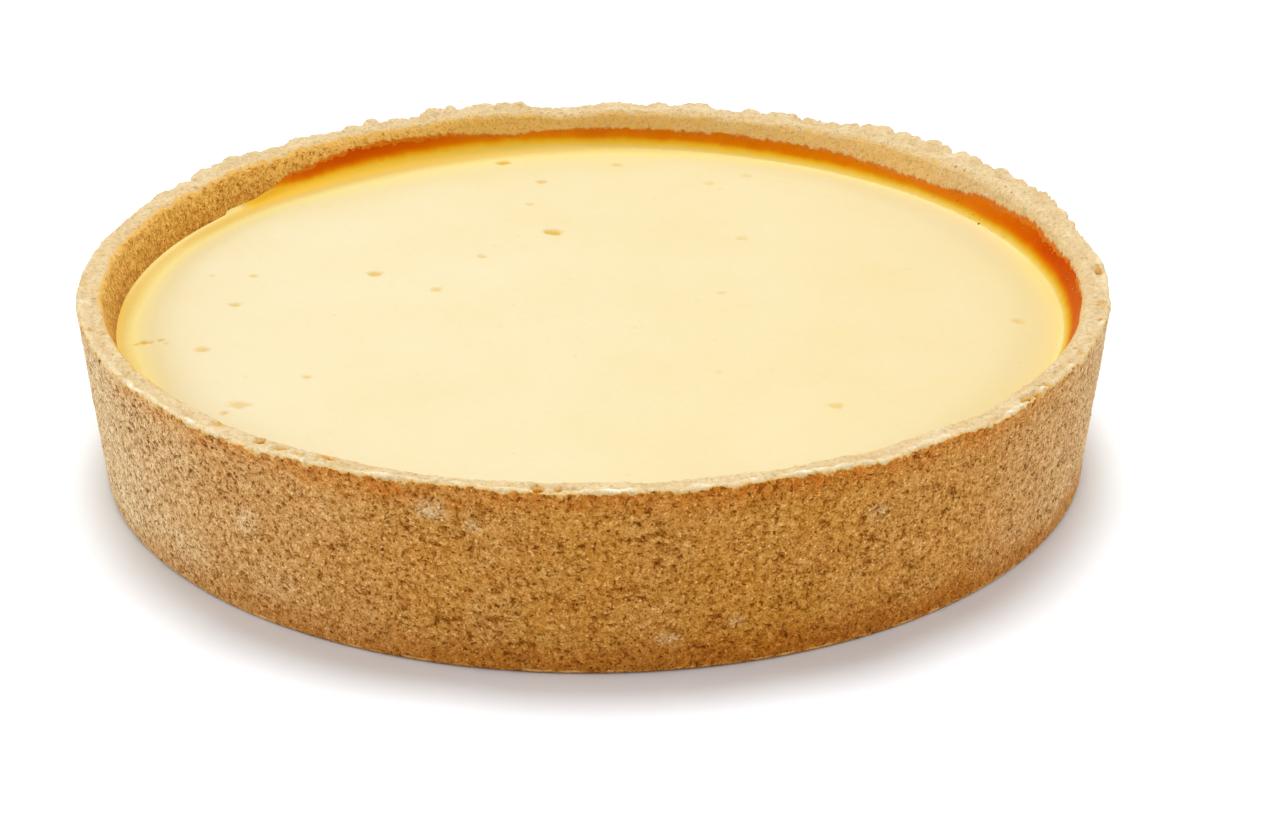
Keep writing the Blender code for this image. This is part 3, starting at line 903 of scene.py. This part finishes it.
class Recipe:
    """A material or group under construction: makes nodes, sets their inputs and links them."""

    def __init__(self, tree):
        self.tree = tree
        tree.nodes.clear()

    def put(self, socket, value):
        """Link an input to another node's output, or set it to a value; a plain colour is made opaque."""
        if isinstance(value, bpy.types.NodeSocket):
            self.tree.links.new(value, socket)
        elif socket.type == "RGBA":
            socket.default_value = (*value, 1.0)
        else:
            socket.default_value = value

    def node(self, kind, settings, *numbered, **named):
        """A node with its settings, and its inputs put in by their order or by their names."""
        made = self.tree.nodes.new(kind)
        for key, value in settings.items():
            setattr(made, key, value)
        for key, value in [*enumerate(numbered), *named.items()]:
            self.put(made.inputs[key], value)
        return made

    def attribute(self, name):
        """The value that a piece's points carry under a name."""
        return self.node("ShaderNodeAttribute", {"attribute_name": name}).outputs["Fac"]

    def math(self, operation, first, second=0.0, third=0.0):
        """One step of arithmetic."""
        return self.node("ShaderNodeMath", {"operation": operation}, first, second, third).outputs[0]

    def add_up(self, total, *parts):
        """A total with parts added to it, each a value and the number that multiplies it."""
        for value, factor in parts:
            total = self.math("MULTIPLY_ADD", value, factor, total)
        return total

    def reach(self, value, low, high, to_low=0.0, to_high=1.0):
        """A value spread from one range to another, smoothly and kept inside it."""
        settings = {"interpolation_type": "SMOOTHSTEP"}
        return self.node("ShaderNodeMapRange", settings, value, low, high, to_low, to_high).outputs[0]

    def mix(self, share, first, second, blend="MIX"):
        """Two colours mixed by a share."""
        made = self.node("ShaderNodeMix", {"data_type": "RGBA", "blend_type": blend}, share)
        self.put(made.inputs[6], first)
        self.put(made.inputs[7], second)
        return made.outputs[2]

    def ramp(self, value, stops):
        """A colour read from stops of place and colour."""
        made = self.node("ShaderNodeValToRGB", {}, value)
        band = made.color_ramp
        while len(band.elements) < len(stops):
            band.elements.new(0.5)
        for element, (place, colour) in zip(band.elements, stops):
            element.position = place
            element.color = (*colour, 1.0)
        return made.outputs["Color"]

    def noise(self, place, scale, detail, roughness=0.55):
        """Smooth noise from 0 to 1, with scale features to a metre."""
        made = self.node("ShaderNodeTexNoise", {}, Vector=place, Scale=scale, Detail=detail,
                         Roughness=roughness)
        return made.outputs["Fac"]

    def bump(self, strength, distance, height):
        """The normal that a height in units of a distance gives."""
        made = self.node("ShaderNodeBump", {}, Strength=strength, Distance=distance, Height=height)
        return made.outputs["Normal"]


def sandy_grain_group():
    """A node group shared by everything baked from the dough: from a place it gives the sandy Tone
    around a half, the scattered light Fleck, partly pale grains and partly painted highlight on the raised
    grain middles, the small dark Gap, painted shade in the low gaps between grains, and a Height for its
    grains."""
    group = bpy.data.node_groups.new("sandy_grain", "ShaderNodeTree")
    recipe = Recipe(group)
    for name, side, kind in (
            ("Place", "INPUT", "Vector"), ("Size", "INPUT", "Float"), ("Tone", "OUTPUT", "Float"),
            ("Fleck", "OUTPUT", "Float"), ("Gap", "OUTPUT", "Float"), ("Height", "OUTPUT", "Float")):
        group.interface.new_socket(name, in_out=side, socket_type="NodeSocket" + kind)
    given = recipe.node("NodeGroupInput", {})
    place = given.outputs["Place"]
    scale = recipe.math("DIVIDE", 1.0, given.outputs["Size"])
    fine = recipe.noise(place, scale, 3.0, 0.6)
    coarse = recipe.noise(place, recipe.math("MULTIPLY", scale, 0.32), 2.0, 0.5)
    cell = recipe.node("ShaderNodeTexVoronoi", {"feature": "F1"}, Vector=place,
                       Scale=recipe.math("MULTIPLY", scale, 0.8))
    # Painted shade: the Gap darkens the low places that it also cuts into the Height
    shaded_gap = recipe.reach(recipe.noise(place, recipe.math("MULTIPLY", scale, 0.55), 3.0, 0.65), 0.44, 0.33)
    # Partly painted highlight: the Fleck lightens the middles of cells, which the Height raises
    fleck_and_highlight = recipe.math("MULTIPLY", recipe.reach(cell.outputs["Color"], 0.72, 0.92),
                        recipe.reach(cell.outputs["Distance"], 0.55, 0.30))
    tone = recipe.add_up(-0.450, (fine, 1.20), (coarse, 0.70))
    height = recipe.add_up(fine, (cell.outputs["Distance"], -0.35), (shaded_gap, -0.9))
    recipe.node("NodeGroupOutput", {}, Tone=tone, Fleck=fleck_and_highlight, Gap=shaded_gap, Height=height)
    return group


def new_recipe(name):
    """An empty material, the recipe that fills it, and the place on the cake, in metres, that it reads."""
    material = bpy.data.materials.new(name)
    material.use_nodes = True
    recipe = Recipe(material.node_tree)
    return material, recipe, recipe.node("ShaderNodeTexCoord", {}).outputs["Object"]


def finish_material(recipe, sockets):
    """The Principled shader with its own sockets linked or set, as the material's surface."""
    shader = recipe.node("ShaderNodeBsdfPrincipled", {}, **sockets)
    recipe.node("ShaderNodeOutputMaterial", {}, Surface=shader.outputs[0])


WALL_TONES = (
    (0.00, (0.180, 0.047, 0.001)),
    (0.25, (0.316, 0.102, 0.004)),
    (0.50, (0.515, 0.207, 0.021)),
    (0.75, (0.700, 0.330, 0.060)),
    (1.00, (0.880, 0.520, 0.170)),
)
# Pale tones for flour dust and for the painted glare on the sides
DUST_AND_GLARE_TONES = (
    (0.00, (0.200, 0.080, 0.020)),
    (0.25, (0.410, 0.215, 0.075)),
    (0.50, (0.710, 0.490, 0.235)),
    (0.75, (0.890, 0.725, 0.460)),
    (1.00, (0.970, 0.900, 0.740)),
)
RIM_TONES = (
    (0.00, (0.460, 0.220, 0.048)),
    (0.30, (0.640, 0.430, 0.185)),
    (0.55, (0.735, 0.550, 0.295)),
    (0.80, (0.860, 0.710, 0.450)),
    (1.00, (0.980, 0.900, 0.700)),
)
INNER_TONES = (
    (0.00, (0.320, 0.105, 0.010)),
    (0.30, (0.590, 0.280, 0.040)),
    (0.55, (0.860, 0.505, 0.120)),
    (0.80, (0.960, 0.650, 0.220)),
    (1.00, (0.950, 0.740, 0.370)),
)
RUST = (0.600, 0.130, 0.006)
RUST_TINT = (1.00, 0.80, 0.56)
SKIN_TINT = (0.83, 0.59, 0.23)
SOAKED = (0.660, 0.180, 0.008)
GOLDEN_EDGE = (0.820, 0.490, 0.130)
WARM_TINT = (1.0, 0.97, 0.93)
OCHRE_TINT = (0.985, 1.0, 0.97)
SHEEN_TINT = (1.0, 0.93, 0.85)


def shortcrust_material(grain_group):
    """Baked dough: pits darkened as painted shade, tan grains and pale flecks, partly painted highlight,
    on the walls, dust with painted glare on the sides, cream on the floury rim with a painted highlight on
    its front ridge, rusty spots under its edge, a darker skin near the base and golden toast inside, with
    painted shade deeper down."""
    material, recipe, place = new_recipe("shortcrust")
    group = recipe.node("ShaderNodeGroup", {"node_tree": grain_group}, Place=place, Size=SANDY_SIZE)
    sandy, fleck_and_highlight, shaded_gap, height = group.outputs
    pale, hollow, rust, dust_and_glare, skin, toast_and_shade, soaked, grain, ridge_and_highlight, inside = (
        recipe.attribute(name) for name in CRUST_VALUES)

    # The hollows and gaps darken the tone as painted shade; the flecks lighten it, partly as painted
    # highlight
    tone = recipe.add_up(sandy, (grain, 0.16), (hollow, -0.42), (shaded_gap, -0.42), (fleck_and_highlight, 0.42))
    patches = recipe.noise(place, 1.0 / 0.0055, 2.0)
    tone = recipe.add_up(recipe.math("SUBTRACT", tone, 0.08), (patches, 0.12))
    hue_share = recipe.reach(recipe.noise(place, 1.0 / 0.0100, 2.0), 0.36, 0.64)
    hues = recipe.ramp(hue_share, ((0.0, WARM_TINT), (1.0, OCHRE_TINT)))
    wall = recipe.mix(1.0, recipe.ramp(tone, WALL_TONES), hues, "MULTIPLY")
    # Dust pales the wall: flour, and painted glare on the left and right sides
    wall = recipe.mix(dust_and_glare, wall, recipe.ramp(recipe.add_up(-0.07, (tone, 1.15)), DUST_AND_GLARE_TONES))
    wall = recipe.mix(recipe.reach(rust, 0.0, 0.6), wall, RUST_TINT, "MULTIPLY")
    wall = recipe.mix(recipe.reach(rust, 0.50, 1.00, 0.0, 0.40), wall, RUST)
    wall = recipe.mix(skin, wall, SKIN_TINT, "MULTIPLY")

    # The ridge lightens the rim's tone as a painted highlight
    rim_tone = recipe.add_up(0.31, (sandy, 0.50), (shaded_gap, -0.10), (ridge_and_highlight, 0.30), (hollow, -0.45))
    # Toast darkens the inner wall, deeper down as painted shade
    inner_tone = recipe.add_up(0.23, (sandy, 0.90), (hollow, -0.6), (shaded_gap, -0.25), (fleck_and_highlight, 0.18),
                               (toast_and_shade, -0.38))
    floury = recipe.add_up(pale, (recipe.math("SUBTRACT", sandy, 0.5), 0.4))
    colour = recipe.mix(inside, wall, recipe.ramp(inner_tone, INNER_TONES))
    colour = recipe.mix(recipe.reach(floury, 0.10, 0.45), colour, GOLDEN_EDGE)
    colour = recipe.mix(recipe.reach(floury, 0.35, 0.85), colour, recipe.ramp(rim_tone, RIM_TONES))
    finish_material(recipe, {
        "Base Color": recipe.mix(soaked, colour, SOAKED),
        "Roughness": recipe.reach(sandy, 0.2, 0.8, 0.72, 0.92),
        "Normal": recipe.bump(0.65, 0.00040, height),
        "Specular IOR Level": 0.04,
        "Sheen Weight": 0.04,
        "Sheen Roughness": 0.5,
        "Sheen Tint": SHEEN_TINT,
    })
    return material


CUSTARD_STOPS = (
    (0.00, (0.805, 0.708, 0.478)),
    (0.06, (0.775, 0.645, 0.345)),
    (0.12, (0.825, 0.690, 0.275)),
    (0.20, (0.725, 0.520, 0.150)),
    (0.27, (0.745, 0.495, 0.085)),
    (0.34, (0.785, 0.475, 0.040)),
    (0.43, (0.765, 0.400, 0.015)),
    (0.52, (0.735, 0.300, 0.004)),
    (0.62, (0.680, 0.190, 0.001)),
    (0.80, (0.600, 0.110, 0.000)),
    (1.00, (0.520, 0.060, 0.000)),
)
GOLD = (0.680, 0.400, 0.045)
# Painted shade: the tint that darkens the film on the +X side
PAINTED_SHADE_TINT = (0.84, 0.84, 1.00)


def custard_material():
    """Set custard: pale and slightly mottled, yellow towards the crust, caramel where it climbs, and
    darkened where its points carry painted shade, on the film towards +X."""
    material, recipe, place = new_recipe("custard")
    cloud = recipe.math("SUBTRACT", recipe.noise(place, 1.0 / 0.035, 2.0), 0.5)
    fine = recipe.noise(place, 1.0 / 0.0016, 3.0)
    mottle = recipe.math("SUBTRACT", fine, 0.5)
    bake = recipe.add_up(recipe.attribute("bake"), (cloud, 0.05), (mottle, 0.03))
    colour = recipe.ramp(bake, CUSTARD_STOPS)
    colour = recipe.mix(recipe.math("MULTIPLY", recipe.attribute("gold"), 0.85), colour, GOLD)
    height = recipe.add_up(recipe.noise(place, 1.0 / 0.0045, 2.0), (fine, 0.25))
    finish_material(recipe, {
        "Base Color": recipe.mix(recipe.attribute("painted_shade"), colour, PAINTED_SHADE_TINT, "MULTIPLY"),
        "Roughness": recipe.reach(bake, 0.1, 0.7, 0.46, 0.34),
        "Normal": recipe.bump(0.35, 0.0004, height),
        "Specular IOR Level": 0.01,
        "Subsurface Weight": 0.06,
        "Subsurface Scale": 0.002,
        "Subsurface Radius": (1.0, 0.7, 0.3),
    })
    return material


# Stage, lights and camera

def add_stage():
    """A wide white floor under the cake."""
    mesh = bpy.data.meshes.new("floor")
    reach = FLOOR_REACH
    corners = ((-reach, -reach), (reach, -reach), (reach, reach), (-reach, reach))
    mesh.from_pydata([(x, y, FLOOR_LEVEL) for x, y in corners], [], [(0, 1, 2, 3)])
    floor = bpy.data.objects.new("floor", mesh)
    bpy.context.scene.collection.objects.link(floor)
    material, recipe, _ = new_recipe("floor")
    finish_material(recipe, {"Base Color": FLOOR_WHITE, "Roughness": 0.9, "Specular IOR Level": 0.1})
    mesh.materials.append(material)


def add_holder(data, place, back):
    """The object of a lamp or a camera at a place, with its back turned to a direction."""
    holder = bpy.data.objects.new(data.name, data)
    holder.location = place
    holder.rotation_mode = "QUATERNION"
    holder.rotation_quaternion = back.to_track_quat("Z", "Y")
    bpy.context.scene.collection.objects.link(holder)
    return holder


def add_soft_light(name, azimuth, elevation, spread, strength):
    """A far, wide studio light from a direction in degrees: azimuth from +X, then height above the floor.
    A white card that faces it gets the given strength, 1 being pure white."""
    lamp = bpy.data.lights.new(name, "SUN")
    lamp.angle = math.radians(spread)
    lamp.energy = strength * math.pi
    turn = math.radians(azimuth)
    lift = math.radians(elevation)
    source = Vector((math.cos(turn) * math.cos(lift), math.sin(turn) * math.cos(lift), math.sin(lift)))
    add_holder(lamp, source, source)


def add_world():
    """A plain white surround, which lights the cake evenly."""
    world = bpy.data.worlds.new("surround")
    world.use_nodes = True
    background = world.node_tree.nodes["Background"]
    background.inputs["Color"].default_value = (1.0, 1.0, 1.0, 1.0)
    background.inputs["Strength"].default_value = SURROUND_STRENGTH
    bpy.context.scene.world = world


def add_camera():
    """The camera at the photograph's place, height and lens."""
    data = bpy.data.cameras.new("camera")
    data.lens = CAMERA_LENS
    data.sensor_width = SENSOR_WIDTH
    data.clip_start = 0.01
    bpy.context.scene.camera = add_holder(data, CAMERA_PLACE, CAMERA_PLACE - CAMERA_AIM)


def main():
    """Everything that is seen: the stage first, then the finishes and the pieces that wear them."""
    add_camera()
    add_world()
    add_stage()
    for light in SOFT_LIGHTS:
        add_soft_light(*light)
    bpy.context.scene.view_settings.view_transform = "Standard"
    crust = shortcrust_material(sandy_grain_group())
    custard = custard_material()
    crust_points = add_crust(crust)
    add_base(crust)
    add_custard_disc(custard)
    film_points = add_custard_band(custard)
    add_crumbs(crust_points, film_points, crust)


main()
